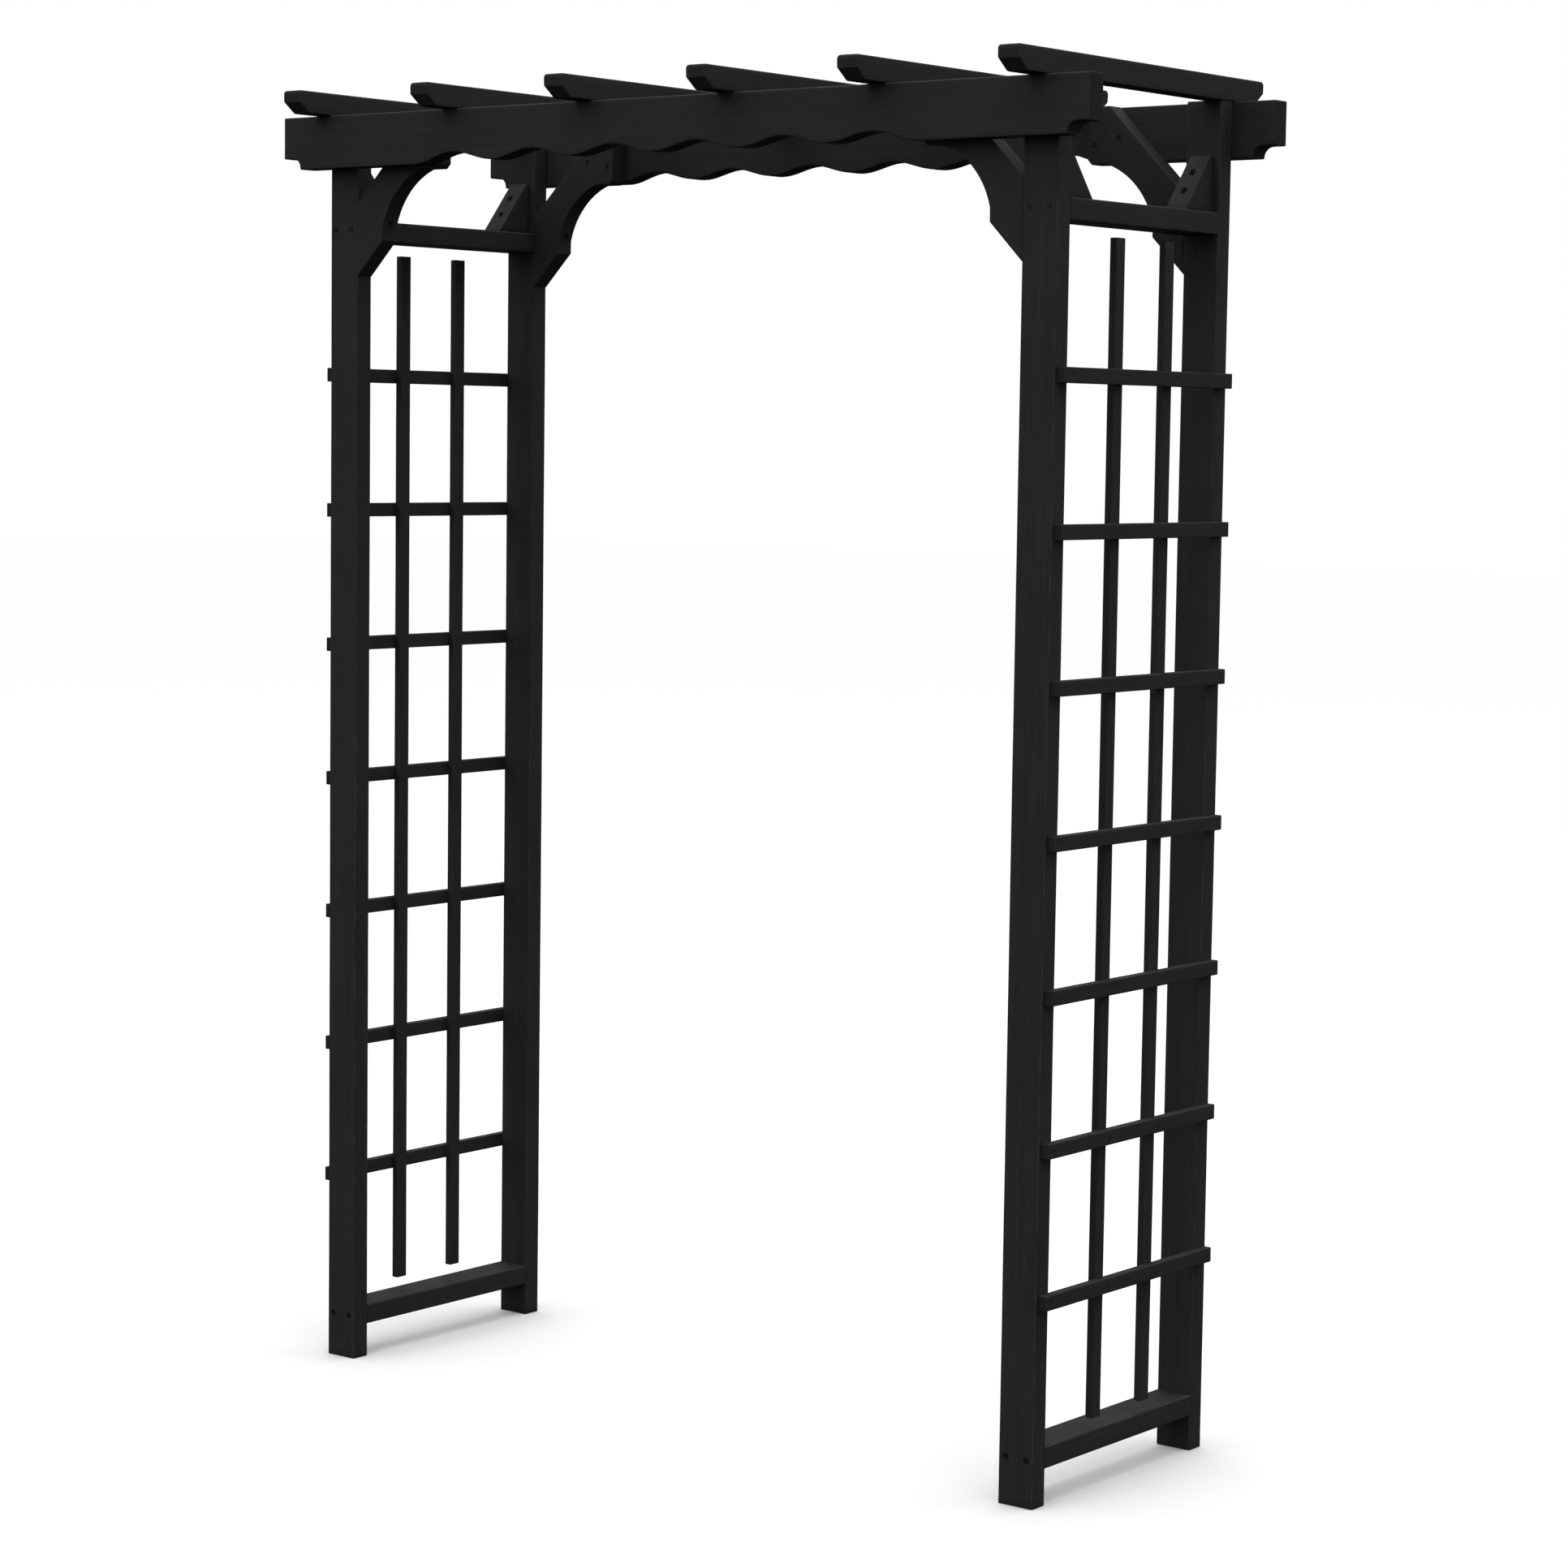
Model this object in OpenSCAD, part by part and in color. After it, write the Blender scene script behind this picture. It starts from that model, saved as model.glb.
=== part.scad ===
// Garden walk-through arch in black-stained timber: two trellis side panels joined
// overhead by a pair of scalloped header boards and a row of rafters.
// Origin on the ground at the centre of the four posts. X runs across the
// walkway, Y along it (front is -Y), Z is up. Millimetres.

/* [Overall] */
// Clear width of the walkway between the two side panels
clear_w = 1396; // [1000:1:1800]
// Depth of a side panel, over the outer faces of its two posts
panel_depth = 492; // [400:1:800]
// Height of the posts, which is the top of the header boards
post_h = 2188; // [1800:1:2600]

/* [Posts and rails] */
// Width of a post across the walkway
post_w = 64; // [50:1:80]
// Thickness of a post along the walkway
post_t = 35; // [30:1:50]
// Thickness of a rail, laid flat between two posts
rail_h = 35; // [25:1:50]
// Gap from the underside of the header boards down to the top rail
top_rail_gap = 87; // [60:1:140]
// Height of the underside of the bottom rail above the ground
bottom_rail_lift = 58; // [20:1:120]

/* [Header boards] */
// Overhang of a header board beyond the outer face of the posts
header_overhang = 77; // [50:1:150]
// Height of a header board
header_h = 90; // [75:1:108]
// Thickness of a header board
header_t = 38; // [32:1:46]
// Height of the notch under each end, and the radius of its cove
notch_h = 19; // [12:1:24]
// Length of the flat part of the notch, from the end to the cove
notch_flat = 20; // [10:1:30]
// Number of scallops along the lower edge
wave_count = 6; // [3:1:9]
// Plain length of the lower edge between a post and the first scallop
wave_margin = 170; // [120:1:240]
// Height of a scallop from trough to crest
wave_h = 15; // [10:1:20]
// Height of the inner troughs above the flat lower edge
wave_lift = 3; // [0:0.5:6]

/* [Rafters] */
// Number of rafters
rafter_count = 6; // [4:1:8]
// Width of a rafter
rafter_w = 38; // [32:1:46]
// Height of a rafter
rafter_h = 38; // [32:1:46]
// Distance from the end of the header board to the middle of the end rafter
rafter_margin = 94; // [60:1:160]
// Mean overhang of a rafter beyond the faces of the two header boards
rafter_overhang = 63; // [40:1:90]
// How far the rafters sit forward of the middle of the arch
rafter_forward = 12; // [0:1:14]
// Length of the chamfer under each rafter end
chamfer_len = 24; // [15:1:32]
// Height of the chamfer under each rafter end
chamfer_h = 18; // [10:1:22]
// Radius of the upper corner of each rafter end
nose_r = 5; // [3:0.5:8]

/* [Corner braces] */
// Width of the brace board
brace_w = 90; // [80:1:110]
// Distance down the post from the header's underside to the brace's back edge
brace_drop = 57; // [40:1:75]
// Length of the brace along the header, from the post
brace_reach = 188; // [185:1:240]
// Distance of the foot of the arch from the post
brace_step = 60; // [45:1:70]
// Length of the plain lip at each end of the arch
brace_lip = 20; // [12:1:26]
// Radius of the arch
brace_arch_r = 138; // [125:1:200]
// How far the brace's header end hangs below the header's underside
brace_nib = 4; // [0:1:8]

/* [Gussets] */
// Height of a gusset above the top rail
gusset_h = 90; // [80:1:95]
// Length of a gusset along the top rail
gusset_base = 81; // [60:1:100]
// Length of the top of a gusset
gusset_top = 8; // [4:1:20]
// Thickness of a gusset
gusset_t = 38; // [32:1:46]

/* [Trellis] */
// Number of horizontal slats on each side
slat_count = 7; // [5:1:9]
// Height of a slat
slat_h = 24; // [16:1:26]
// Thickness of a slat
slat_t = 15; // [12:1:20]
// Distance of each slat end from the outer face of the post
slat_inset = 6; // [2:1:10]
// How much nearer to the rails the end slats stand than an even spacing would put them
slat_end_trim = 5; // [0:1:20]
// Number of upright strips on each side
strip_count = 2; // [1:1:3]
// Width of an upright strip
strip_w = 24; // [16:1:26]
// Thickness of an upright strip
strip_t = 13; // [12:1:20]
// Gap between the end of a strip and the rail
strip_gap = 19; // [10:1:30]

/* [Screws and nails] */
// Shank diameter of the timber screws
screw_d = 5; // [4:0.5:6]
// Head diameter of the timber screws
screw_head_d = 10; // [8:0.5:11]
// Height of the countersunk screw head
screw_head_h = 3; // [2.5:0.1:4]
// Depth of the screw heads below the surface
screw_sink = 1.5; // [0.5:0.1:3]
// Clearance around a screw or nail shank
shank_gap = 0.2; // [0.1:0.05:0.5]
// Length of a screw past the first piece that it holds
screw_bite = 38; // [25:1:40]
// Spacing of the two screws in a rail joint
rail_screw_space = 38; // [30:1:44]
// Distance of the two header screws to either side of the middle of the post
header_screw_side = 14; // [10:1:16]
// Height of the lower header screw above the header's underside
header_screw_low = 32; // [25:1:36]
// Distance of the upper header screw below the top of the header
header_screw_drop = 23; // [15:1:30]
// Distance of a brace's first header screw from the end of the brace
brace_screw_1_in = 13; // [10:1:20]
// Height of that screw above the header's underside
brace_screw_1_up = 26; // [20:1:50]
// Distance of a brace's second header screw from the end of the brace
brace_screw_2_in = 59; // [45:1:70]
// Height of that screw above the header's underside
brace_screw_2_up = 36; // [20:1:50]
// Height of the lower screw in a gusset above the top rail
gusset_screw_low = 32; // [25:1:36]
// Height of the upper screw in a gusset above the top rail
gusset_screw_high = 62; // [50:1:66]
// Shank diameter of the slat nails
nail_d = 2.6; // [2:0.1:3.5]
// Head diameter of the slat nails
nail_head_d = 6; // [5:0.5:7]
// Thickness of a nail head
nail_head_h = 1; // [0.8:0.1:1.5]
// Length of the slat nails in the posts, past the slat
nail_bite = 25; // [15:1:30]

/* [Hidden] */
SIDES = ["right", "left"];
ENDS = ["rear", "front"];
stain = [0.13, 0.13, 0.135];
blackened_steel = [0.2, 0.2, 0.21];
// How far a cut runs past the surface that it opens
past = 1;
// How far the bore for a head runs out where it opens on a slope
slope_clear = 30;

// Faces of the posts, measured from the centre
in_x = clear_w / 2;
out_x = in_x + post_w;
mid_x = in_x + post_w / 2;
out_y = panel_depth / 2;
in_y = out_y - post_t;
mid_y = out_y - post_t / 2;

// Levels
header_z = post_h - header_h;
top_rail_z = header_z - top_rail_gap;
top_rail_under = top_rail_z - rail_h;
bottom_rail_z = bottom_rail_lift + rail_h;

// Trellis spacing: the slats share out the opening, the end ones a little nearer to the
// rails, and the strips share it out evenly
slat_pitch = (top_rail_under - bottom_rail_z + 2 * slat_end_trim) / (slat_count + 1);
slat_z = [for (i = [1 : slat_count]) bottom_rail_z - slat_end_trim + i * slat_pitch];
strip_pitch = 2 * in_y / (strip_count + 1);
strip_y = [for (i = [1 : strip_count]) -in_y + i * strip_pitch];

// Header boards
header_half = out_x + header_overhang;
wave_half = in_x - wave_margin;
wave_len = 2 * wave_half / wave_count;

// Rafters, spread evenly along the header boards
rafter_len = 2 * (out_y + header_t + rafter_overhang);
rafter_pitch = 2 * (header_half - rafter_margin) / (rafter_count - 1);
rafter_x = [for (i = [1 : rafter_count]) (i - (rafter_count + 1) / 2) * rafter_pitch];

// Corner braces, seen with u running in from the post and v up from the header's underside
brace_diag = brace_w * sqrt(2);
brace_toe = brace_drop + brace_diag;
arch_leg = brace_toe - brace_step - brace_lip;
arch_half = arch_leg / sqrt(2);
arch_out = sqrt(pow(brace_arch_r, 2) - pow(arch_half, 2)) / sqrt(2);
arch_u = brace_step + arch_leg / 2 + arch_out;
arch_v = -arch_leg / 2 - arch_out;

// Screw places: the screw in a brace's foot clears the ones in the top rail
rail_screw_x = [mid_x - rail_screw_space / 2, mid_x + rail_screw_space / 2];
gusset_screw_up = [gusset_screw_low, gusset_screw_high];
brace_foot_z = max(header_z - arch_leg, top_rail_z - rail_h / 2) + 2 * screw_d;
brace_screws = [
  [brace_reach - brace_screw_1_in, brace_screw_1_up],
  [brace_reach - brace_screw_2_in, brace_screw_2_up]
];
slat_nail_y = out_y - (slat_inset + post_t) / 2;

// A gusset's screws lie level, so their heads go in as far as its slope falls across them
gusset_slope = (gusset_base - gusset_top) / gusset_h;
gusset_screw_sink = gusset_slope * screw_head_d / 2;

// Screw and nail lengths, and how far each stops short of the face beyond it
blind = 10;
nail_blind = 3;
rail_screw_len = post_t + screw_bite;
header_screw_len = post_t + header_t - blind;
brace_header_len = post_t + header_t - blind;
brace_post_len = brace_step + screw_bite;
rafter_screw_len = rafter_h + screw_bite;
slat_nail_len = slat_t + nail_bite;
strip_nail_len = slat_t + strip_t - nail_blind;

// ---- Helpers ----

// Copies a thing made at the right-hand rear corner to all four corners
module corners() {
  for (sx = [0, 1], sy = [0, 1])
    corner(sx, sy) children();
}

// sx and sy are 1 to mirror a thing to the left side and to the front
module corner(sx, sy) {
  mirror([sx, 0, 0]) mirror([0, sy, 0]) children();
}

// Each turns a thing that hangs down from the origin to point that way
module drive_to_rear() { rotate([90, 0, 0]) children(); }
module drive_to_front() { rotate([-90, 0, 0]) children(); }
module drive_to_right() { rotate([0, -90, 0]) children(); }
module drive_to_left() { rotate([0, 90, 0]) children(); }

// Countersunk timber screw, driven down from the surface at the origin
module screw(length) {
  color(blackened_steel) translate([0, 0, -screw_sink]) {
    translate([0, 0, -screw_head_h])
      cylinder(h = screw_head_h, d1 = screw_d, d2 = screw_head_d, $fn = 32);
    translate([0, 0, -length])
      cylinder(h = length - screw_head_h, d = screw_d, $fn = 24);
  }
}

// The hole for that screw; clear is how far the head's bore runs above the surface
module screw_hole(length, clear = past) {
  translate([0, 0, -screw_sink]) {
    cylinder(h = screw_sink + clear, d = screw_head_d, $fn = 32);
    translate([0, 0, -screw_head_h])
      cylinder(h = screw_head_h, d1 = screw_d, d2 = screw_head_d, $fn = 32);
    translate([0, 0, -length - past])
      cylinder(h = length + past / 2, d = screw_d + 2 * shank_gap, $fn = 24);
  }
}

// Flat-headed nail, driven down from the surface at the origin
module nail(length) {
  color(blackened_steel) {
    translate([0, 0, -nail_head_h]) cylinder(h = nail_head_h, d = nail_head_d, $fn = 24);
    translate([0, 0, -length]) cylinder(h = length - nail_head_h, d = nail_d, $fn = 16);
  }
}

module nail_hole(length) {
  translate([0, 0, -nail_head_h]) cylinder(h = nail_head_h + past, d = nail_head_d, $fn = 24);
  translate([0, 0, -length - past])
    cylinder(h = length + past / 2, d = nail_d + 2 * shank_gap, $fn = 16);
}

// ---- Fixing places, each at the right-hand rear corner ----

// Length of a gusset at a height above its rail
function gusset_at(up) = gusset_base - gusset_slope * up;
function gusset_screw_len(up) = gusset_at(up) - gusset_screw_sink + post_t - blind;

module at_rail_screws(rail_top) {
  for (x = rail_screw_x)
    translate([x, out_y, rail_top - rail_h / 2]) drive_to_front() children();
}

module at_header_screws() {
  translate([mid_x + header_screw_side, in_y, header_z + header_screw_low])
    drive_to_rear() children();
  translate([mid_x - header_screw_side, in_y, post_h - header_screw_drop])
    drive_to_rear() children();
}

module at_brace_post_screw() {
  translate([in_x - brace_step, mid_y, brace_foot_z]) drive_to_right() children();
}

module at_brace_header_screws() {
  for (p = brace_screws)
    translate([in_x - p[0], in_y, header_z + p[1]]) drive_to_rear() children();
}

module at_gusset_screw(up) {
  translate([mid_x, in_y - gusset_at(up) + gusset_screw_sink, top_rail_z + up])
    drive_to_rear() children();
}

module at_rafter_screw(x) {
  translate([x, out_y + header_t / 2, post_h + rafter_h]) children();
}

module at_slat_nails(z) {
  translate([out_x + slat_t, slat_nail_y, z]) drive_to_left() children();
}

module at_strip_nail(y, z) {
  translate([out_x + slat_t, y, z]) drive_to_left() children();
}

// ---- Timber, one piece each ----

module post(sx, sy) {
  color(stain) corner(sx, sy) difference() {
    translate([in_x, in_y, 0]) cube([post_w, post_t, post_h]);
    at_rail_screws(top_rail_z) screw_hole(rail_screw_len);
    at_rail_screws(bottom_rail_z) screw_hole(rail_screw_len);
    at_header_screws() screw_hole(header_screw_len);
    at_brace_post_screw() screw_hole(brace_post_len);
    for (up = gusset_screw_up)
      at_gusset_screw(up) screw_hole(gusset_screw_len(up));
    for (z = slat_z)
      at_slat_nails(z) nail_hole(slat_nail_len);
  }
}

module rail(sx, rail_top) {
  color(stain) mirror([sx, 0, 0]) difference() {
    translate([in_x, -in_y, rail_top - rail_h]) cube([post_w, 2 * in_y, rail_h]);
    for (sy = [0, 1])
      mirror([0, sy, 0]) at_rail_screws(rail_top) screw_hole(rail_screw_len);
  }
}

// Height of the scalloped edge at x: the outer half waves run down to the flat edge
function scallop_z(x) =
  let (
    rise = (1 - cos(360 * (wave_half - abs(x)) / wave_len)) / 2,
    is_outer = wave_half - abs(x) < wave_len / 2
  )
  is_outer ? (wave_h + wave_lift) * rise : wave_lift + wave_h * rise;

module header_outline() {
  steps = 16;
  wave = [for (i = [0 : wave_count * steps])
    let (x = -wave_half + i * wave_len / steps) [x, scallop_z(x)]];
  polygon(concat(
    [[-header_half, header_h], [-header_half, 0]],
    wave,
    [[header_half, 0], [header_half, header_h]]
  ));
}

module header(sy) {
  color(stain) mirror([0, sy, 0]) difference() {
    translate([0, out_y + header_t, header_z]) rotate([90, 0, 0])
      linear_extrude(header_t) header_outline();
    for (sx = [0, 1]) mirror([sx, 0, 0]) {
      translate([header_half - notch_flat, out_y - past, header_z - past])
        cube([notch_flat + past, header_t + 2 * past, notch_h + past]);
      translate([header_half - notch_flat, out_y + header_t + past, header_z])
        rotate([90, 0, 0]) cylinder(h = header_t + 2 * past, r = notch_h, $fn = 48);
      at_header_screws() screw_hole(header_screw_len);
      at_brace_header_screws() screw_hole(brace_header_len);
    }
    for (x = rafter_x)
      at_rafter_screw(x) screw_hole(rafter_screw_len);
  }
}

module rafter_outline() {
  half = rafter_len / 2;
  nose = [for (a = [0 : 15 : 90])
    [half - nose_r + nose_r * cos(a), rafter_h - nose_r + nose_r * sin(a)]];
  tail = [for (a = [90 : 15 : 180])
    [-half + nose_r + nose_r * cos(a), rafter_h - nose_r + nose_r * sin(a)]];
  lower = [[-half, chamfer_h], [-half + chamfer_len, 0],
    [half - chamfer_len, 0], [half, chamfer_h]];
  polygon(concat(nose, tail, lower));
}

module rafter(x) {
  color(stain) difference() {
    translate([x - rafter_w / 2, -rafter_forward, post_h]) rotate([90, 0, 90])
      linear_extrude(rafter_w) rafter_outline();
    for (sy = [0, 1])
      mirror([0, sy, 0]) at_rafter_screw(x) screw_hole(rafter_screw_len);
  }
}

module brace_outline() {
  difference() {
    polygon([
      [0, -brace_toe],
      [0, -brace_drop],
      [header_h + brace_drop, header_h],
      [brace_reach, header_h],
      [brace_reach, brace_reach - brace_toe],
    ]);
    intersection() {
      translate([arch_u, arch_v]) circle(r = brace_arch_r, $fn = 120);
      translate([brace_step, -2 * brace_toe])
        square([2 * brace_toe, 2 * brace_toe - brace_nib]);
    }
  }
}

module brace(sx, sy) {
  color(stain) corner(sx, sy) difference() {
    translate([in_x, in_y, header_z]) rotate([90, 0, 180])
      linear_extrude(post_t) brace_outline();
    at_brace_post_screw() screw_hole(brace_post_len, slope_clear);
    at_brace_header_screws() screw_hole(brace_header_len);
  }
}

module gusset(sx, sy) {
  color(stain) corner(sx, sy) difference() {
    translate([mid_x - gusset_t / 2, in_y, top_rail_z]) rotate([90, 0, 90])
      linear_extrude(gusset_t)
        polygon([[0, 0], [-gusset_base, 0], [-gusset_top, gusset_h], [0, gusset_h]]);
    for (up = gusset_screw_up)
      at_gusset_screw(up) screw_hole(gusset_screw_len(up), slope_clear);
  }
}

module slat(sx, z) {
  color(stain) mirror([sx, 0, 0]) difference() {
    translate([out_x, -out_y + slat_inset, z - slat_h / 2])
      cube([slat_t, panel_depth - 2 * slat_inset, slat_h]);
    for (sy = [0, 1])
      mirror([0, sy, 0]) at_slat_nails(z) nail_hole(slat_nail_len);
    for (y = strip_y)
      at_strip_nail(y, z) nail_hole(strip_nail_len);
  }
}

module strip(sx, y) {
  color(stain) mirror([sx, 0, 0]) difference() {
    translate([out_x - strip_t, y - strip_w / 2, bottom_rail_z + strip_gap])
      cube([strip_t, strip_w, top_rail_under - bottom_rail_z - 2 * strip_gap]);
    for (z = slat_z)
      at_strip_nail(y, z) nail_hole(strip_nail_len);
  }
}

// ---- Fixings, one group for each kind of joint ----

module rail_screws(rail_top) {
  corners() at_rail_screws(rail_top) screw(rail_screw_len);
}

module header_screws() {
  corners() at_header_screws() screw(header_screw_len);
}

module rafter_screws() {
  for (sy = [0, 1], x = rafter_x)
    mirror([0, sy, 0]) at_rafter_screw(x) screw(rafter_screw_len);
}

module brace_post_screws() {
  corners() at_brace_post_screw() screw(brace_post_len);
}

module brace_header_screws() {
  corners() at_brace_header_screws() screw(brace_header_len);
}

module gusset_screws() {
  corners() for (up = gusset_screw_up)
    at_gusset_screw(up) screw(gusset_screw_len(up));
}

module slat_nails() {
  corners() for (z = slat_z)
    at_slat_nails(z) nail(slat_nail_len);
}

module strip_nails() {
  for (sx = [0, 1], y = strip_y, z = slat_z)
    mirror([sx, 0, 0]) at_strip_nail(y, z) nail(strip_nail_len);
}

for (sy = [0, 1], sx = [0, 1]) {
  place = str(ENDS[sy], "_", SIDES[sx]);
  post(sx, sy);
  brace(sx, sy);
  gusset(sx, sy);
}
for (sx = [0, 1]) {
  side = SIDES[sx];
  rail(sx, top_rail_z);
  rail(sx, bottom_rail_z);
  for (i = [1 : slat_count])
    slat(sx, slat_z[i - 1]);
  for (i = [1 : strip_count])
    strip(sx, strip_y[i - 1]);
}
for (sy = [0, 1])
  header(sy);
for (i = [1 : rafter_count])
  rafter(rafter_x[i - 1]);
rail_screws(top_rail_z);  // top_rail_screws
rail_screws(bottom_rail_z);  // bottom_rail_screws
header_screws();
rafter_screws();
brace_post_screws();
brace_header_screws();
gusset_screws();
slat_nails();
strip_nails();
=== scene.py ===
"""The looks of a black-stained timber garden arch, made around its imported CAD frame.

Every timber is rebuilt at its CAD node's size as a dense mesh with eased edges, real screw and
nail holes and a grain of its own. The screws get cross recesses. The header screws' heads stay
under the posts' surface, with no hole over them. All sizes are in metres.
"""
import math
import random

import bpy
import numpy as np
from mathutils import Matrix, Vector, noise

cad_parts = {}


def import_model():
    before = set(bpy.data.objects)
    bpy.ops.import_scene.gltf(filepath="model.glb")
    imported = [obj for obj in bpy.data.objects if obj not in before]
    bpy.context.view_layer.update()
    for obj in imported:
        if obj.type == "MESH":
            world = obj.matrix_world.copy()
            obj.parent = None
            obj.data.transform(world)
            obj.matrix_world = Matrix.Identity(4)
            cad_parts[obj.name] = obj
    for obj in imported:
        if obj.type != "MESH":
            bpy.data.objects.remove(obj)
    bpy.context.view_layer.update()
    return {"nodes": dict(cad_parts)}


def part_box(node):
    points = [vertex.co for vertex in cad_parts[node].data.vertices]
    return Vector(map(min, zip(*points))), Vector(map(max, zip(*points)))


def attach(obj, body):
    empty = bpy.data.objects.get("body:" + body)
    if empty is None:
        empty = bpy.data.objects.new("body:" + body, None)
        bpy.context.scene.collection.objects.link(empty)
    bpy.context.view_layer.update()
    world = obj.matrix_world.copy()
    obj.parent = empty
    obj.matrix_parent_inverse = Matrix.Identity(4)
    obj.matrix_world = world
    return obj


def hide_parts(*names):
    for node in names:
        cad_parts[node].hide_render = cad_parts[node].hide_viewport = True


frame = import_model()
SIDES = {"left": -1, "right": 1}
ENDS = {"front": -1, "rear": 1}
MM = 0.001

# ---- Shapes that the boxes of the CAD nodes don't give, as in the part's source ----
NOTCH_H, NOTCH_FLAT = 19 * MM, 20 * MM
WAVE_COUNT, WAVE_H, WAVE_LIFT, WAVE_MARGIN = 6, 15 * MM, 3 * MM, 170 * MM
CHAMFER_LEN, CHAMFER_H, NOSE_R = 24 * MM, 18 * MM, 5 * MM
BRACE_STEP, BRACE_LIP, BRACE_NIB, ARCH_R = 60 * MM, 20 * MM, 4 * MM, 138 * MM
GUSSET_TOP = 8 * MM
SCREW_SINK, SCREW_HEAD_R, SCREW_SHANK_R, SCREW_HEAD_H = 1.5 * MM, 5 * MM, 2.5 * MM, 3 * MM
NAIL_HEAD_R, NAIL_SHANK_R, NAIL_HEAD_H = 3 * MM, 1.3 * MM, 1 * MM

# ---- Finish of the timber's surface ----
EASE = 2.6 * MM          # radius of the planed arrises of posts, rails, headers and rafters
BATTEN_EASE = 1.4 * MM   # radius of the arrises of slats and strips
END_EASE = 1.0 * MM      # radius at the sawn ends
ARRIS_ROWS = 3
ROW_STEP = 14 * MM       # grid spacing along a board
ACROSS_STEP = 4.5 * MM   # grid spacing across it
WAVINESS = 0.22 * MM     # planing waviness and raised grain that the mesh itself holds
BOW = 0.5 * MM           # most that a long board bends out of true
BATTEN_FINER = 0.7       # grid spacing across a slat or strip, as a share of a board's
LEAST_ROW_GAP = 0.35 * MM  # an extra row closer than this to another is left out
OUTLINE_EASE = 1.5 * MM  # rounding of the header's sawn corners
SHARP_TIMBER, SHARP_STEEL = math.radians(38), math.radians(35)  # edges steeper than this stay crisp

# ---- Holes and heads ----
SCREW_CLEAR, NAIL_CLEAR = 0.35 * MM, 0.15 * MM  # gap round a head
SCREW_RIM, NAIL_RIM = 0.5 * MM, 0.35 * MM       # how far a hole's mouth flares beyond that
SLOPE_REACH, FACE_REACH, NAIL_REACH = 25, 4, 2  # mm that a cutter stands out of the surface
SCREW_SIDES, NAIL_SIDES = 48, 24
RECESS_ARM, RECESS_HALF_W, RECESS_DEPTH = 2.5 * MM, 0.55 * MM, 1.7 * MM

# ---- Studio ----
FLOOR_HALF = 40
FLOOR_TONE = (0.95, 0.95, 0.95, 1)
CAMERA_PLACE = (3.9485, -4.9721, 1.6391)
CAMERA_ANGLES = (37.992, -5.204, 0.790)  # azimuth, elevation and roll in degrees
CAMERA_LENS, CAMERA_SENSOR = 86.4, 36

random.seed(20260)


# ---- Outlines ----

def arc(centre, radius, start, end, count):
    """Points on an arc, angles in degrees."""
    angles = np.radians(np.linspace(start, end, count))
    return [(centre[0] + radius * math.cos(a), centre[1] + radius * math.sin(a)) for a in angles]


def softened(points, radius, corner=math.radians(25)):
    """The same open line with each sharp corner turned into a small arc."""
    out = [points[0]]
    for before, here, after in zip(points, points[1:], points[2:]):
        p, q, r = Vector(before), Vector(here), Vector(after)
        back, ahead = p - q, r - q
        turn = math.pi - back.angle(ahead)
        if turn < corner:
            out.append(here)
            continue
        cut = min(radius * math.tan(turn / 2), 0.45 * back.length, 0.45 * ahead.length)
        a, b = q + back.normalized() * cut, q + ahead.normalized() * cut
        for t in (0, 0.25, 0.5, 0.75, 1):
            point = a * (1 - t) ** 2 + q * (2 * t * (1 - t)) + b * t ** 2
            out.append((point.x, point.y))
    return out + [points[-1]]


def lengths(points):
    """Distance along a line to each of its points."""
    steps = np.linalg.norm(np.diff(points, axis=0), axis=1)
    return np.concatenate([[0], np.cumsum(steps)])


def paired(lower, upper):
    """Both edges of a board at the same fractions of their lengths, and the mean distance along."""
    lower, upper = np.array(lower, float), np.array(upper, float)
    low_s, up_s = lengths(lower), lengths(upper)
    parts = np.unique(np.round(np.concatenate([low_s / low_s[-1], up_s / up_s[-1]]), 7))
    at = [np.column_stack([np.interp(parts * s[-1], s, line[:, axis]) for axis in (0, 1)])
          for line, s in ((lower, low_s), (upper, up_s))]
    return at[0], at[1], parts * (low_s[-1] + up_s[-1]) / 2


# ---- Boards ----

def rows(length, step, ease, own=()):
    """Places of the grid rows over a length: eased ends, an even spread, and a board's own points."""
    rim = [ease * i / ARRIS_ROWS for i in range(ARRIS_ROWS + 1)]
    count = max(1, round((length - 2 * ease) / step))
    even = [ease + (length - 2 * ease) * i / count for i in range(1, count)]
    kept = sorted(rim + [length - r for r in rim])
    for mark in list(own) + even:
        if ease < mark < length - ease and min(abs(mark - k) for k in kept) > LEAST_ROW_GAP:
            kept.append(mark)
    return np.array(sorted(kept))


def box_surface(counts):
    """Lattice indices of a box's surface, and its outward quads, for that many points each way."""
    index = -np.ones(counts, int)
    i, j, k = np.meshgrid(*[np.arange(c) for c in counts], indexing="ij")
    skin = np.zeros(counts, bool)
    for axis, places in enumerate((i, j, k)):
        skin |= (places == 0) | (places == counts[axis] - 1)
    index[skin] = np.arange(skin.sum())
    quads = []
    for axis in range(3):
        for last in (0, 1):
            sheet = np.take(index, -last, axis=axis)
            quad = np.stack([sheet[:-1, :-1], sheet[1:, :-1], sheet[1:, 1:], sheet[:-1, 1:]], -1)
            outward = (axis != 1) == bool(last)
            quads.append((quad if outward else quad[..., ::-1]).reshape(-1, 4))
    return (i[skin], j[skin], k[skin]), np.concatenate(quads)


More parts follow.
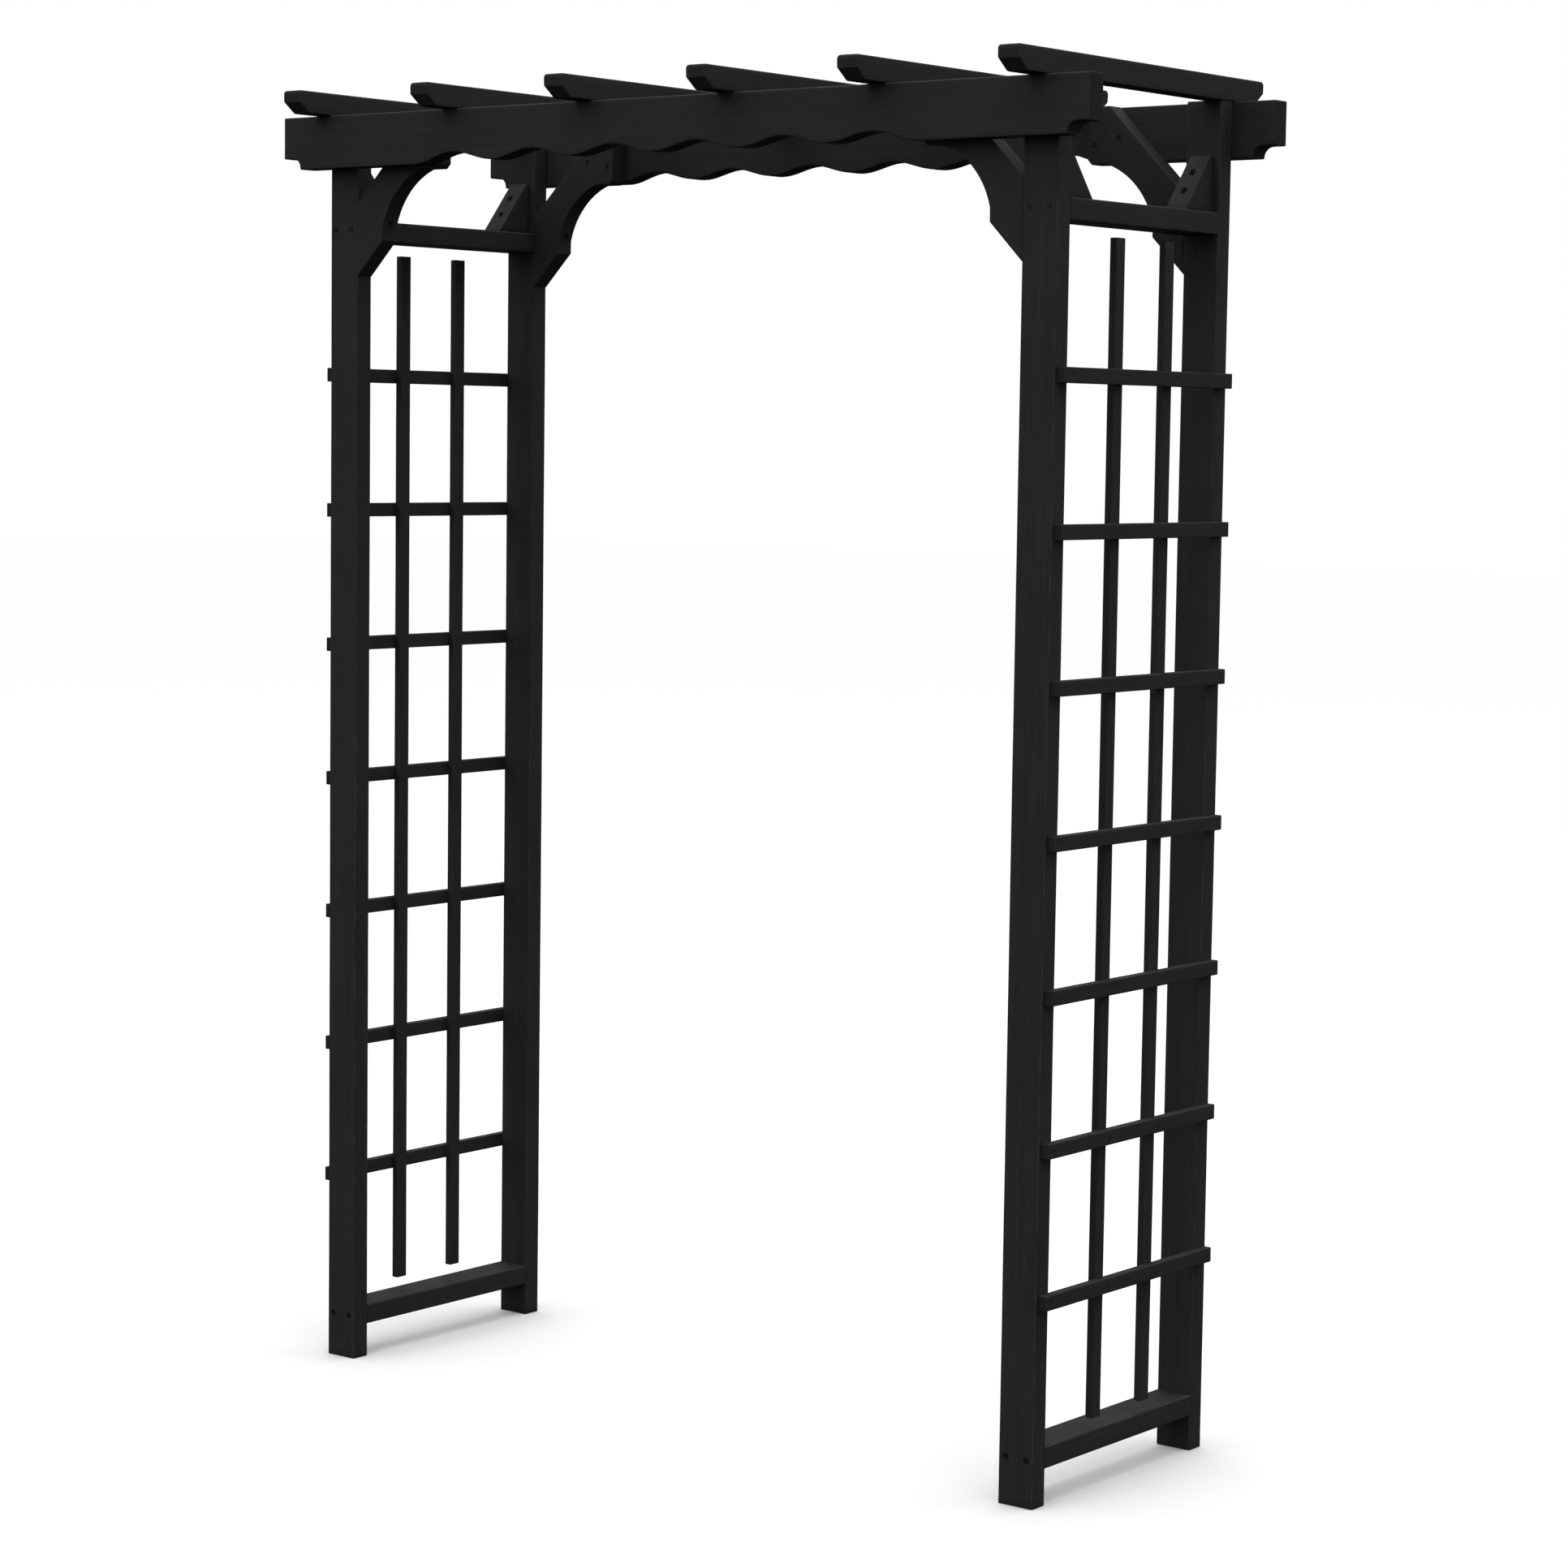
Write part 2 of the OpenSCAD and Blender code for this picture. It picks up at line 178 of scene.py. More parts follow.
def eased(near, ease):
    """Distances from a box's three pairs of faces, with its edges and corners turned round."""
    q = [np.clip(1 - d / e, 0, 1) for d, e in zip(near, ease)]
    size = np.sqrt(sum(x * x for x in q))
    scale = np.where(size > 0, np.maximum.reduce(q) / np.maximum(size, 1e-9), 1)
    return [np.where(x > 0, e * (1 - x * scale), d) for x, d, e in zip(q, near, ease)], size


def board(lower, upper, thickness, place, ease, across):
    """Vertices, quads and arris mask of a board between two edges that lie in its face; the mask marks
    where the stain is painted lighter, as a painted highlight in patches like rubbed stain.

    place is the matrix from the board's own (along, across, through) to the row frame.
    """
    low, up, s = paired(lower, upper)
    height = np.linalg.norm(up - low, axis=1)
    along = rows(s[-1], ROW_STEP, END_EASE, s[1:-1])
    face = rows(height.mean(), across, ease)
    through = rows(thickness, across, ease)
    (i, j, k), quads = box_surface((len(along), len(face), len(through)))
    tall = np.interp(along[i], s, height)
    middle = (face[j] - ease) / (height.mean() - 2 * ease) * (tall - 2 * ease) + ease
    rise = np.where(face[j] <= ease, face[j], middle)
    rise = np.where(face[j] >= height.mean() - ease, tall - (height.mean() - face[j]), rise)
    near = [np.minimum(along[i], s[-1] - along[i]), np.minimum(rise, tall - rise),
            np.minimum(through[k], thickness - through[k])]
    (ds, dt, dw), corner = eased(near, (END_EASE, ease, ease))
    at = np.where(along[i] < s[-1] / 2, ds, s[-1] - ds)
    tall = np.interp(at, s, height)
    share = np.where(rise < tall / 2, dt, tall - dt) / tall
    lo = np.column_stack([np.interp(at, s, low[:, a]) for a in (0, 1)])
    hi = np.column_stack([np.interp(at, s, up[:, a]) for a in (0, 1)])
    flat = lo + (hi - lo) * share[:, None]
    depth = np.where(through[k] < thickness / 2, dw, thickness - dw)
    local = np.column_stack([flat, depth])
    if place.determinant() < 0:
        quads = quads[:, ::-1]
    matrix = np.array(place)
    world = local @ matrix[:3, :3].T + matrix[:3, 3]
    # Strongest along the middle of each arris: the material paints a highlight there, in patches like
    # rubbed stain
    arris_highlight_and_wear = np.clip((corner - 1.0) / (math.sqrt(2) - 1), 0, 1)
    return world, quads, arris_highlight_and_wear


def new_mesh(name, vertices, faces):
    mesh = bpy.data.meshes.new(name)
    mesh.from_pydata([tuple(v) for v in vertices], [], [tuple(int(x) for x in f) for f in faces])
    mesh.update()
    return mesh


def roughen(mesh, place, grain, seed, bow):
    """Moves the surface by the waviness of planed softwood, drawn out along the grain."""
    count = len(mesh.vertices)
    co, normals = np.empty(count * 3), np.empty(count * 3)
    mesh.vertices.foreach_get("co", co)
    mesh.vertices.foreach_get("normal", normals)
    co, normals = co.reshape(-1, 3), normals.reshape(-1, 3)
    local = in_board(co, place, grain)
    length = local[:, 0].max() - local[:, 0].min()
    lift = np.array([
        noise.noise(Vector((a * 3 + seed, b * 45, c * 45)))
        + 0.5 * noise.noise(Vector((a * 12 - seed, b * 160, c * 160)))
        for a, b, c in local
    ])
    co += normals * (WAVINESS * lift)[:, None]
    sag = np.sin(np.pi * (local[:, 0] - local[:, 0].min()) / length) * bow
    co += np.outer(sag, np.array(place.to_3x3().col[2]))
    mesh.vertices.foreach_set("co", co.ravel())
    mesh.update()


def in_board(co, place, grain):
    """Row-frame points as (along the grain, across it, through the board)."""
    inverse = np.array(place.inverted())
    local = co @ inverse[:3, :3].T + inverse[:3, 3]
    g = np.array(grain) / np.linalg.norm(grain)
    return np.column_stack([local[:, :2] @ g, local[:, :2] @ np.array([-g[1], g[0]]), local[:, 2]])


def mark_grain(mesh, place, grain, pith):
    """Stores where each vertex lies in the log that its board was sawn from, and its end grain."""
    count = len(mesh.vertices)
    co, normals = np.empty(count * 3), np.empty(count * 3)
    mesh.vertices.foreach_get("co", co)
    mesh.vertices.foreach_get("normal", normals)
    log = in_board(co.reshape(-1, 3), place, grain) + np.array(pith)
    mesh.attributes.new("log", "FLOAT_VECTOR", "POINT").data.foreach_set("vector", log.ravel())
    matrix = place.to_3x3()
    axis = (matrix @ Vector((grain[0], grain[1], 0))).normalized()
    facing = np.abs(normals.reshape(-1, 3) @ np.array(axis))
    sawn = np.clip((facing - 0.75) / 0.2, 0, 1)
    mesh.attributes.new("sawn", "FLOAT", "POINT").data.foreach_set("value", sawn)


# ---- Holes ----

def lathe(profile, place, segments=40):
    """Vertices and faces of a closed turned solid; profile is (radius, height) from top to bottom."""
    verts, faces = [place @ Vector((0, 0, profile[0][1]))], []
    for radius, z in profile:
        for n in range(segments):
            a = 2 * math.pi * n / segments
            verts.append(place @ Vector((radius * math.cos(a), radius * math.sin(a), z)))
    verts.append(place @ Vector((0, 0, profile[-1][1])))
    last = len(verts) - 1
    for n in range(segments):
        m = (n + 1) % segments
        faces.append((0, 1 + n, 1 + m))
        for ring in range(len(profile) - 1):
            a, b = 1 + ring * segments, 1 + (ring + 1) * segments
            faces.append((a + m, a + n, b + n, b + m))
        foot = 1 + (len(profile) - 1) * segments
        faces.append((last, foot + m, foot + n))
    return verts, faces


def joined(parts):
    """One list of vertices and faces from several."""
    verts, faces = [], []
    for part_verts, part_faces in parts:
        start = len(verts)
        verts += list(part_verts)
        faces += [tuple(start + int(x) for x in f) for f in part_faces]
    return verts, faces


def islands(node):
    """The separate solids of a CAD node, each as an array of its corners."""
    mesh = frame["nodes"][node].data
    keys, parent, corner = {}, [], []
    for v in mesh.vertices:
        key = tuple(round(c * 1e6) for c in v.co)
        if key not in keys:
            keys[key] = len(parent)
            parent.append(keys[key])
        corner.append(keys[key])

    def root(n):
        while parent[n] != n:
            parent[n] = parent[parent[n]]
            n = parent[n]
        return n

    for edge in mesh.edges:
        a, b = (root(corner[v]) for v in edge.vertices)
        parent[a] = b
    groups = {}
    for v in mesh.vertices:
        groups.setdefault(root(corner[v.index]), []).append(tuple(v.co))
    return [np.array(g) for _, g in sorted(groups.items())]


def fixing_places(node):
    """A matrix for each fixing: its origin at the middle of the head's top, +Z out of the timber."""
    places = []
    for points in islands(node):
        low, high = points.min(0), points.max(0)
        axis = int(np.argmax(high - low))
        middle = (low + high) / 2
        ends = {}
        for sign, level in ((1, high[axis]), (-1, low[axis])):
            near = points[np.abs(points[:, axis] - level) < 0.01 * MM]
            others = [a for a in range(3) if a != axis]
            ends[sign] = np.abs(near[:, others] - middle[others]).max()
        sign = 1 if ends[1] > ends[-1] else -1
        out = Vector([sign if a == axis else 0 for a in range(3)])
        head = Vector(middle)
        head[axis] = high[axis] if sign > 0 else low[axis]
        turn = Matrix.Rotation(random.uniform(0, math.tau), 4, "Z")
        length = float(high[axis] - low[axis])
        places.append((Matrix.Translation(head) @ out.to_track_quat("Z", "Y").to_matrix().to_4x4()
                       @ turn, length))
    return places


def screw_cutter(place, clear):
    """The countersunk hole over a screw head."""
    edge = SCREW_HEAD_R + SCREW_CLEAR
    return lathe([(edge + SCREW_RIM, clear), (edge + SCREW_RIM, SCREW_SINK - 0.1 * MM),
                  (edge, SCREW_SINK - 0.7 * MM), (edge, 0),
                  (SCREW_SHANK_R + 0.3 * MM, -SCREW_HEAD_H - 0.1 * MM),
                  (SCREW_SHANK_R + 0.3 * MM, -SCREW_HEAD_H - 2 * MM)], place)


def nail_cutter(place, clear):
    """The dimple that a nail's head sits in."""
    edge = NAIL_HEAD_R + NAIL_CLEAR
    return lathe([(edge + NAIL_RIM, clear), (edge + NAIL_RIM, -0.05 * MM), (edge, -0.3 * MM),
                  (edge, -NAIL_HEAD_H - 0.2 * MM)], place, NAIL_SIDES)


SCREWS = ["top_rail_screws", "bottom_rail_screws", "header_screws", "rafter_screws",
          "brace_post_screws", "brace_header_screws", "gusset_screws"]
NAILS = ["slat_nails", "strip_nails"]
PLACES = {node: fixing_places(node) for node in SCREWS + NAILS}
SLOPED = {"gusset_screws", "brace_post_screws"}


def cut_holes(piece, node, kinds):
    """Cuts the holes of those kinds of fixing whose heads lie in the CAD node's box."""
    low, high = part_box(node)
    parts = []
    for kind in kinds:
        for place, _ in PLACES[kind]:
            head = place.translation
            if all(low[a] - MM <= head[a] <= high[a] + MM for a in range(3)):
                if kind in NAILS:
                    parts.append(nail_cutter(place, NAIL_REACH * MM))
                else:
                    reach = SLOPE_REACH if kind in SLOPED else FACE_REACH
                    parts.append(screw_cutter(place, reach * MM))
    if not parts:
        return
    cutter = bpy.data.objects.new("cutter", new_mesh("cutter", *joined(parts)))
    bpy.context.scene.collection.objects.link(cutter)
    modifier = piece.modifiers.new("holes", "BOOLEAN")
    modifier.operation = "DIFFERENCE"
    modifier.solver = "EXACT"
    modifier.object = cutter
    bpy.context.view_layer.update()
    graph = bpy.context.evaluated_depsgraph_get()
    cut = bpy.data.meshes.new_from_object(piece.evaluated_get(graph))
    piece.modifiers.clear()
    piece.data = cut
    bpy.data.objects.remove(cutter)


# ---- Materials ----

def node_tree(name):
    material = bpy.data.materials.new(name)
    material.use_nodes = True
    tree = material.node_tree
    return material, tree, tree.nodes["Principled BSDF"]


def add(tree, kind, inputs=(), **settings):
    """A node with its settings, and its inputs given as values or as sockets to link."""
    made = tree.nodes.new(kind)
    for key, value in settings.items():
        setattr(made, key, value)
    for key, value in dict(inputs).items():
        if isinstance(value, bpy.types.NodeSocket):
            tree.links.new(value, made.inputs[key])
        else:
            made.inputs[key].default_value = value
    return made


def maths(tree, operation, *values, clamp=False):
    return add(tree, "ShaderNodeMath", enumerate(values), operation=operation,
               use_clamp=clamp).outputs[0]


def spread_over(tree, value, low, high, to_low, to_high):
    """Maps a value from one range to another, held within it."""
    made = add(tree, "ShaderNodeMapRange", {"Value": value, "From Min": low, "From Max": high,
                                            "To Min": to_low, "To Max": to_high})
    return made.outputs["Result"]


def grain_noise(tree, log, along, across, detail=4, distortion=0.0):
    """Noise drawn out along the grain; along and across are features per metre."""
    scaled = add(tree, "ShaderNodeVectorMath", {0: log, 1: (along, across, across)},
                 operation="MULTIPLY").outputs[0]
    return add(tree, "ShaderNodeTexNoise", {"Vector": scaled, "Scale": 1.0, "Detail": detail,
                                            "Roughness": 0.6, "Distortion": distortion}).outputs[0]


def timber_material(name, ring_width, tone, rough, sheen):
    """Satin black stain over softwood: the rings and fibres still show through it."""
    material, tree, shader = node_tree(name)
    log = add(tree, "ShaderNodeAttribute", attribute_name="log").outputs["Vector"]
    edge_highlight_and_wear = add(tree, "ShaderNodeAttribute", attribute_name="arris").outputs["Fac"]
    sawn = add(tree, "ShaderNodeAttribute", attribute_name="sawn").outputs["Fac"]

    # Growth rings about the pith, which wander slowly along the log
    wander = grain_noise(tree, log, 1.6, 9, 2)
    drift = add(tree, "ShaderNodeVectorMath", {0: log, 1: (0, 1, 1)}, operation="MULTIPLY").outputs[0]
    radius = add(tree, "ShaderNodeVectorMath", {0: drift}, operation="LENGTH").outputs["Value"]
    moved = maths(tree, "MULTIPLY_ADD", wander, 0.016, radius)
    phase = maths(tree, "FRACT", maths(tree, "DIVIDE", moved, ring_width))
    ramp = add(tree, "ShaderNodeValToRGB", {"Fac": phase})
    ramp.color_ramp.interpolation = "B_SPLINE"
    stops = ramp.color_ramp.elements
    stops[0].position, stops[0].color = 0.0, (0.1, 0.1, 0.1, 1)
    stops[1].position, stops[1].color = 1.0, (0.1, 0.1, 0.1, 1)
    for position, level in ((0.45, 0.25), (0.8, 1.0)):
        stop = stops.new(position)
        stop.color = (level, level, level, 1)
    rings = ramp.outputs["Color"]

    fibres = grain_noise(tree, log, 14, 900, 5, 0.3)
    streaks = grain_noise(tree, log, 2.2, 130, 3)
    clouds = grain_noise(tree, log, 5, 14, 2)

    # Colour: near-black pigment, thinner on the latewood ridges, and painted lighter along the arrises:
    # a painted highlight there, in patches like rubbed stain
    level = spread_over(tree, fibres, 0.3, 0.7, 0.84, 1.16)
    level = maths(tree, "MULTIPLY", level, spread_over(tree, streaks, 0.3, 0.7, 0.89, 1.11))
    level = maths(tree, "MULTIPLY", level, spread_over(tree, clouds, 0.3, 0.7, 0.93, 1.07))
    level = maths(tree, "MULTIPLY", level, spread_over(tree, rings, 0.1, 1.0, 0.96, 1.08))
    level = maths(tree, "MULTIPLY", level, spread_over(tree, sawn, 0, 1, 1.0, 0.8))
    patchy = grain_noise(tree, log, 22, 60, 4)
    # Painted highlight: each arris gets a lighter colour, broken into patches like rubbed stain
    lightened = maths(tree, "MULTIPLY", edge_highlight_and_wear, spread_over(tree, patchy, 0.42, 0.62, 0.15, 1.0), clamp=True)
    colour = add(tree, "ShaderNodeMix", {0: lightened, 6: (*tone, 1), 7: (*[2.3 * c for c in tone], 1)},
                 data_type="RGBA").outputs[2]
    tinted = add(tree, "ShaderNodeVectorMath", {0: colour, "Scale": level},
                 operation="SCALE").outputs[0]
    tree.links.new(tinted, shader.inputs["Base Color"])

    # Roughness: satin, duller in the open earlywood and on sawn ends
    dull = spread_over(tree, streaks, 0.3, 0.7, rough - 0.06, rough + 0.08)
    dull = maths(tree, "ADD", dull, spread_over(tree, fibres, 0.3, 0.7, -0.04, 0.05))
    dull = maths(tree, "ADD", dull, maths(tree, "MULTIPLY", sawn, 0.18))
    dull = maths(tree, "SUBTRACT", dull, maths(tree, "MULTIPLY", lightened, 0.05), clamp=True)
    tree.links.new(dull, shader.inputs["Roughness"])
    shader.inputs["IOR"].default_value = 1.47
    shader.inputs["Specular IOR Level"].default_value = sheen

    # Relief: latewood stands proud, fibres are open pores under the stain
    height = maths(tree, "MULTIPLY", rings, 0.35)
    height = maths(tree, "MULTIPLY_ADD", fibres, 0.55, height)
    height = maths(tree, "MULTIPLY_ADD", streaks, 0.3, height)
    bump = add(tree, "ShaderNodeBump", {"Height": height, "Strength": 0.55, "Distance": 0.35 * MM})
    tree.links.new(bump.outputs["Normal"], shader.inputs["Normal"])
    return material


def steel_material(name):
    """Black-coated steel, with the coating rubbed thin in small patches."""
    material, tree, shader = node_tree(name)
    place = add(tree, "ShaderNodeTexCoord").outputs["Object"]
    spots = add(tree, "ShaderNodeTexNoise", {"Vector": place, "Scale": 900.0, "Detail": 4.0}).outputs[0]
    fine = add(tree, "ShaderNodeTexNoise", {"Vector": place, "Scale": 4000.0, "Detail": 2.0}).outputs[0]
    lightened = spread_over(tree, spots, 0.55, 0.75, 0.0, 1.0)
    colour = add(tree, "ShaderNodeMix", {0: lightened, 6: (0.022, 0.022, 0.024, 1), 7: (0.09, 0.09, 0.095, 1)},
                 data_type="RGBA").outputs[2]
    tree.links.new(colour, shader.inputs["Base Color"])
    tree.links.new(spread_over(tree, spots, 0.3, 0.7, 0.3, 0.5), shader.inputs["Roughness"])
    shader.inputs["Metallic"].default_value = 0.85
    bump = add(tree, "ShaderNodeBump", {"Height": fine, "Strength": 0.3, "Distance": 0.05 * MM})
    tree.links.new(bump.outputs["Normal"], shader.inputs["Normal"])
    return material


FRAME_STAIN = timber_material("black_satin_stain", 3.4 * MM, (0.0275, 0.0275, 0.0275), 0.7, 0.12)
SLAT_STAIN = timber_material("black_satin_stain_battens", 2.6 * MM, (0.0265, 0.0265, 0.0265), 0.72, 0.12)
BLACK_STEEL = steel_material("black_coated_steel")


def finish_piece(piece, material, slot, *nodes):
    piece.data.materials.clear()
    piece.data.materials.append(material)
    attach(piece, "root")
    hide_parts(*nodes)


# ---- Timber ----

def axes(origin, along, across, through):
    """The matrix from a board's own axes to the row frame."""
    columns = [Vector(v) for v in (along, across, through)]
    matrix = Matrix([[columns[c][r] for c in range(3)] for r in range(3)]).to_4x4()
    matrix.translation = Vector(origin)
    return matrix


def timber(node, lower, upper, thickness, place, grain=(1, 0), batten=False, kinds=(), bow=0.0):
    """One timber: its mesh, its holes, its grain and its finish."""
    ease = BATTEN_EASE if batten else EASE
    across = ACROSS_STEP * (BATTEN_FINER if batten else 1)
    verts, quads, arris_highlight_and_wear = board(lower, upper, thickness, place, ease, across=across)
    mesh = new_mesh(node + "_timber", verts, quads)
    mesh.attributes.new("arris", "FLOAT", "POINT").data.foreach_set("value", arris_highlight_and_wear)
    seed = random.uniform(0, 100)
    roughen(mesh, place, grain, seed, random.uniform(-1, 1) * bow)
    piece = bpy.data.objects.new(node + "_timber", mesh)
    bpy.context.scene.collection.objects.link(piece)
    cut_holes(piece, node, kinds)
    pith = (seed, random.choice([-1, 1]) * random.uniform(0.015, 0.05),
            random.choice([-1, 1]) * random.uniform(0.03, 0.09))
    mark_grain(piece.data, place, grain, pith)
    piece.data.name = node + "_timber"
    piece.data.shade_smooth()
    piece.data.set_sharp_from_angle(angle=SHARP_TIMBER)
    finish_piece(piece, SLAT_STAIN if batten else FRAME_STAIN,
                 "slat_timber" if batten else "frame_timber", node)


def plain_edges(length, height):
    """The two straight edges of a plain board."""
    return [(0, 0), (length, 0)], [(0, height), (length, height)]


def post(node):
    low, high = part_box(node)
    size = high - low
    place = axes(low, (0, 0, 1), (1, 0, 0), (0, 1, 0))
    timber(node, *plain_edges(size.z, size.x), size.y, place, bow=BOW,
           kinds=("top_rail_screws", "bottom_rail_screws"))


def rail(node):
    low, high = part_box(node)
    size = high - low
    timber(node, *plain_edges(size.y, size.x), size.z, axes(low, (0, 1, 0), (1, 0, 0), (0, 0, 1)))


def slat(node):
    low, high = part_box(node)
    size = high - low
    place = axes(low, (0, 1, 0), (0, 0, 1), (1, 0, 0))
    timber(node, *plain_edges(size.y, size.z), size.x, place, batten=True, kinds=NAILS, bow=0.3 * BOW)


def strip(node):
    low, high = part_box(node)
    size = high - low
    place = axes(low, (0, 0, 1), (0, 1, 0), (1, 0, 0))
    timber(node, *plain_edges(size.z, size.y), size.x, place, batten=True, bow=BOW)


def scallop(x, half, count):
    """Height of the header's lower edge at x; the outer half waves run down to the flat edge."""
    length = 2 * half / count
    rise = (1 - math.cos(math.tau * (half - abs(x)) / length)) / 2
    if half - abs(x) < length / 2:
        return (WAVE_H + WAVE_LIFT) * rise
    return WAVE_LIFT + WAVE_H * rise


def header(node):
    low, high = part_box(node)
    size = high - low
    half = size.x / 2
    wave_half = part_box("post_front_right")[0].x - WAVE_MARGIN
    steps = WAVE_COUNT * 24
    wave = [(-wave_half + 2 * wave_half * n / steps) for n in range(steps + 1)]
    cove = arc((-half + NOTCH_FLAT, 0), NOTCH_H, 90, 0, 13)
    left = [(-half, NOTCH_H)] + cove
    lower = softened(left, OUTLINE_EASE) + [(x, scallop(x, wave_half, WAVE_COUNT)) for x in wave]
    lower += [(-x, z) for x, z in reversed(softened(left, OUTLINE_EASE))]
    upper = [(-half, size.z), (half, size.z)]
    place = axes((0, low.y, low.z), (1, 0, 0), (0, 0, 1), (0, 1, 0))
    timber(node, lower, upper, size.y, place, bow=BOW)


def rafter(node):
    low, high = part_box(node)
    size = high - low
    half, top = size.y / 2, size.z
    lower = softened([(-half, CHAMFER_H), (-half + CHAMFER_LEN, 0), (half - CHAMFER_LEN, 0),
                      (half, CHAMFER_H)], 6 * MM)
    upper = (arc((-half + NOSE_R, top - NOSE_R), NOSE_R, 180, 90, 7)
             + arc((half - NOSE_R, top - NOSE_R), NOSE_R, 90, 0, 7))
    place = axes((low.x, (low.y + high.y) / 2, low.z), (0, 1, 0), (0, 0, 1), (1, 0, 0))
    timber(node, lower, upper, size.x, place, kinds=("rafter_screws",), bow=0.6 * BOW)


def brace(node, side):
    """An arched board from the post up to the header; u runs in from the post, v up the header."""
    low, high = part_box(node)
    header_low, header_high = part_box("header_rear")
    board_w = header_high.z - header_low.z
    reach = high.x - low.x
    toe = header_low.z - low.z
    drop = toe - board_w * math.sqrt(2)
    leg = toe - BRACE_STEP - BRACE_LIP
    out = math.sqrt((ARCH_R ** 2 - leg ** 2 / 2) / 2)
    centre = (BRACE_STEP + leg / 2 + out, -leg / 2 - out)
    start = math.degrees(math.atan2(-leg - centre[1], BRACE_STEP - centre[0]))
    finish = 180 - math.degrees(math.asin((-BRACE_NIB - centre[1]) / ARCH_R))
    lower = [(0, -toe), (BRACE_STEP, BRACE_STEP - toe)] + arc(centre, ARCH_R, start, finish, 40)
    lower += [(toe - BRACE_NIB, -BRACE_NIB), (reach, reach - toe)]
    upper = [(0, -drop), (board_w + drop, board_w), (reach, board_w)]
    wall = high.x if side > 0 else low.x
    place = axes((wall, low.y, header_low.z), (-side, 0, 0), (0, 0, 1), (0, 1, 0))
    timber(node, softened(lower, 2 * MM), softened(upper, 4 * MM), high.y - low.y, place,
           grain=(1, 1), kinds=("brace_post_screws", "brace_header_screws"))


def gusset(node, end):
    """A wedge between the rail and the post; its slope faces up and in."""
    low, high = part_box(node)
    size = high - low
    wall = high.y if end > 0 else low.y
    place = axes((low.x, wall, low.z), (0, 0, 1), (0, -end, 0), (1, 0, 0))
    timber(node, [(0, 0), (size.z, 0)], [(0, size.y), (size.z, GUSSET_TOP)], size.x, place,
           grain=(size.z, GUSSET_TOP - size.y), kinds=("gusset_screws",))


# ---- Fixings ----

def cross_depth(x, y):
    """Depth of a cross recess at a point of a screw head."""
    along, beside = max(abs(x), abs(y)), min(abs(x), abs(y))
    inside = min(1, max(0, (RECESS_HALF_W + 0.2 * MM - beside) / (0.35 * MM)))
    reach = min(1, max(0, (RECESS_ARM - along) / (0.9 * MM)))
    return RECESS_DEPTH * inside * reach


def screw(place, length):
    """A countersunk screw, with a cross recess pressed into its head."""
    segments, rings = SCREW_SIDES, 14
    verts, faces = [(0, 0, -cross_depth(0, 0))], []
    flat = SCREW_HEAD_R - 0.15 * MM
    for ring in range(1, rings + 1):
        radius = flat * ring / rings
        for n in range(segments):
            a = math.tau * n / segments
            x, y = radius * math.cos(a), radius * math.sin(a)
            verts.append((x, y, -cross_depth(x, y)))
    side = [(SCREW_HEAD_R, -0.2 * MM), (SCREW_SHANK_R, -SCREW_HEAD_H),
            (SCREW_SHANK_R, -length + 5 * MM), (0.3 * MM, -length)]
    for radius, z in side:
        verts += [(radius * math.cos(math.tau * n / segments),
                   radius * math.sin(math.tau * n / segments), z) for n in range(segments)]
    verts.append((0, 0, -length))
    for n in range(segments):
        m = (n + 1) % segments
        faces.append((0, 1 + n, 1 + m))
        for ring in range(rings + len(side) - 1):
            a, b = 1 + ring * segments, 1 + (ring + 1) * segments
            faces.append((a + n, b + n, b + m, a + m))
        foot = 1 + (rings + len(side) - 1) * segments
        faces.append((len(verts) - 1, foot + m, foot + n))
    return [place @ Vector(v) for v in verts], faces


def nail(place, length):
    """A flat-headed nail with a slightly domed, hammered head."""
    profile = [(0.5 * NAIL_HEAD_R, -0.16 * MM), (0.85 * NAIL_HEAD_R, -0.22 * MM),
               (NAIL_HEAD_R, -0.4 * MM), (NAIL_HEAD_R, -NAIL_HEAD_H),
               (NAIL_SHANK_R, -NAIL_HEAD_H - 0.3 * MM), (NAIL_SHANK_R, -length + 3 * MM),
               (0.2 * MM, -length)]
    return lathe(profile, place, NAIL_SIDES)


def fixings(node, make):
    verts, faces = joined([make(place, length) for place, length in PLACES[node]])
    mesh = new_mesh(node + "_black", verts, faces)
    mesh.shade_smooth()
    mesh.set_sharp_from_angle(angle=SHARP_STEEL)
    piece = bpy.data.objects.new(node + "_black", mesh)
    bpy.context.scene.collection.objects.link(piece)
    finish_piece(piece, BLACK_STEEL, "fixings", node)


for end_name, end in ENDS.items():
    header("header_" + end_name)
    for side_name, side in SIDES.items():
        corner_name = f"{end_name}_{side_name}"
        post("post_" + corner_name)
        brace("brace_" + corner_name, side)
        gusset("gusset_" + corner_name, end)
for node in sorted(frame["nodes"]):
    if "_rail_" in node and not node.endswith("screws"):
        rail(node)
    elif node.startswith("rafter_") and node not in SCREWS:
        rafter(node)
    elif node.startswith("slat_") and node not in NAILS:
        slat(node)
    elif node.startswith("strip_") and node not in NAILS:
        strip(node)
for node in SCREWS:
    fixings(node, screw)
for node in NAILS:
    fixings(node, nail)


# ---- Studio ----

